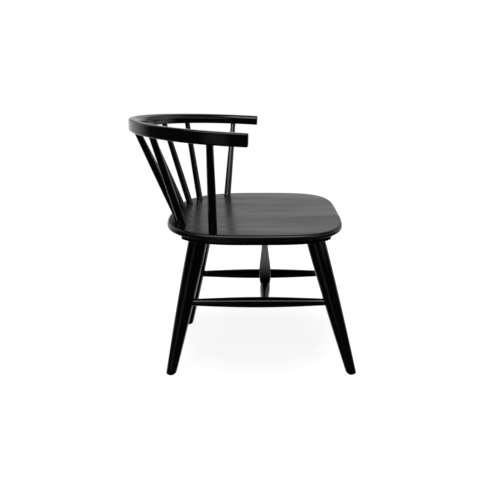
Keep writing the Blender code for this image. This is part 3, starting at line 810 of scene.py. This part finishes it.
# %% Helpers for brightness by direction
def ramp(tree, source, *stops):
    """A smooth step: from the third stop to the fourth while the source goes from first to second."""
    node = tree.nodes.new("ShaderNodeMapRange")
    node.interpolation_type = "SMOOTHSTEP"
    for socket, value in zip(("From Min", "From Max", "To Min", "To Max"), stops):
        node.inputs[socket].default_value = value
    tree.links.new(source, node.inputs["Value"])
    return node.outputs["Result"]


def combine(tree, operation, first, second):
    """One sum, difference or product of two sockets."""
    node = tree.nodes.new("ShaderNodeMath")
    node.operation = operation
    tree.links.new(first, node.inputs[0])
    tree.links.new(second, node.inputs[1])
    return node.outputs["Value"]


def band(tree, source, start, full, fade, end):
    """Up from 0 to 1 between start and full, and back to 0 between fade and end."""
    rise = ramp(tree, source, start, full, 0.0, 1.0)
    return combine(tree, "MULTIPLY", rise, ramp(tree, source, fade, end, 1.0, 0.0))


# %% The far wall and its two gaps
def far_wall(tree, x, y, z):
    """Full where y > 0.65. Two bands along x take up to 85% of it away where z > 0.14."""
    wall = ramp(tree, y, 0.20, 0.65, 0.005, 0.70)
    rear_gap = band(tree, x, -0.55, -0.35, -0.26, -0.04)
    front_gap = band(tree, x, 0.28, 0.45, 0.70, 0.85)
    gaps = combine(tree, "ADD", rear_gap, front_gap)
    shade = combine(tree, "MULTIPLY", gaps, ramp(tree, z, 0.04, 0.14, 0.0, 0.85))
    return combine(tree, "SUBTRACT", wall, combine(tree, "MULTIPLY", wall, shade))


# %% Soft box, dim panel and window
def soft_box(tree, x, y, z):
    """Bright and high on the camera's side, where y < -0.12 and z is about 0.7 to 0.97."""
    box = ramp(tree, y, -0.30, -0.12, 3.8, 0.0)
    box = combine(tree, "MULTIPLY", box, ramp(tree, x, 0.25, 0.60, 1.0, 0.1))
    return combine(tree, "MULTIPLY", box, band(tree, z, 0.62, 0.78, 0.955, 0.985))


def dim_panel(tree, x, z):
    """A level stripe on the rear side, brightest where x is about -0.4."""
    panel = ramp(tree, x, -0.70, -0.45, 0.02, 0.19)
    panel = combine(tree, "MULTIPLY", panel, ramp(tree, x, -0.28, -0.06, 1.0, 0.0))
    return combine(tree, "MULTIPLY", panel, band(tree, z, -0.35, -0.20, 0.10, 0.22))


def window(tree, x, z):
    """A raised stripe on the front side, full where x > 0.60 and z is 0.25 to 0.50."""
    light = ramp(tree, x, 0.35, 0.60, 0.0, 0.45)
    return combine(tree, "MULTIPLY", light, band(tree, z, 0.12, 0.25, 0.50, 0.65))


# %% Light from all round
SEEN_WHITE = 1.02


def make_world():
    """The camera sees plain white. All other rays see the sum of wall, soft box, panel and window."""
    world = bpy.data.worlds.new("studio")
    bpy.context.scene.world = world
    world.use_nodes = True
    tree = world.node_tree
    background = tree.nodes["Background"]
    coordinates = tree.nodes.new("ShaderNodeTexCoord")
    split = tree.nodes.new("ShaderNodeSeparateXYZ")
    tree.links.new(coordinates.outputs["Generated"], split.inputs["Vector"])
    x, y, z = (split.outputs[axis] for axis in "XYZ")
    lit = combine(tree, "ADD", far_wall(tree, x, y, z), soft_box(tree, x, y, z))
    sides = combine(tree, "ADD", dim_panel(tree, x, z), window(tree, x, z))
    lit = combine(tree, "ADD", lit, sides)
    seen = tree.nodes.new("ShaderNodeLightPath")
    choose = add_node(tree, "ShaderNodeMix", B=SEEN_WHITE)
    tree.links.new(seen.outputs["Is Camera Ray"], choose.inputs["Factor"])
    tree.links.new(lit, choose.inputs["A"])
    tree.links.new(choose.outputs["Result"], background.inputs["Strength"])
    background.inputs["Color"].default_value = (1.0, 1.0, 1.0, 1.0)
    return world


print("nodes in the world:", len(make_world().node_tree.nodes))


# %% Soft lamp overhead
def soft_lamp(name, place, target, size, power):
    """A square area lamp that faces the target."""
    data = bpy.data.lights.new(name, "AREA")
    data.shape = "SQUARE"
    data.size = size
    data.energy = power
    lamp = bpy.data.objects.new(name, data)
    bpy.context.collection.objects.link(lamp)
    lamp.location = place
    lamp.rotation_euler = (Vector(target) - Vector(place)).to_track_quat("-Z", "Y").to_euler()
    lamp.visible_glossy = False
    return lamp


soft_lamp("lamp_above", place=(0.0, 0.1, 2.4), target=(0.0, 0.0, 0.4), size=1.2, power=68.0)

# %% [markdown]
# The camera stands where the photograph was taken from: to the chair's right, a little higher
# than its arms, looking 17.6 degrees down. The picture's middle isn't the lens's middle. The
# camera could be turned to make up for that, but then the chair's uprights would lean, so the
# lens is shifted a little instead.

# %% Camera
camera_data = bpy.data.cameras.new("camera")
camera_data.sensor_fit = "HORIZONTAL"
camera_data.sensor_width = 36.0
camera_data.lens = 35.779
camera_data.shift_x = -0.0676
camera_data.shift_y = 0.0019
camera_data.clip_end = 100.0
camera = bpy.data.objects.new("camera", camera_data)
bpy.context.collection.objects.link(camera)
camera.location = (0.069, -1.3479, 0.7791)
camera.rotation_euler = (math.radians(72.351), math.radians(0.106), math.radians(-0.110))
bpy.context.scene.camera = camera
bpy.context.scene.view_settings.view_transform = "Standard"
print("camera height:", round(camera.location.z, 3))
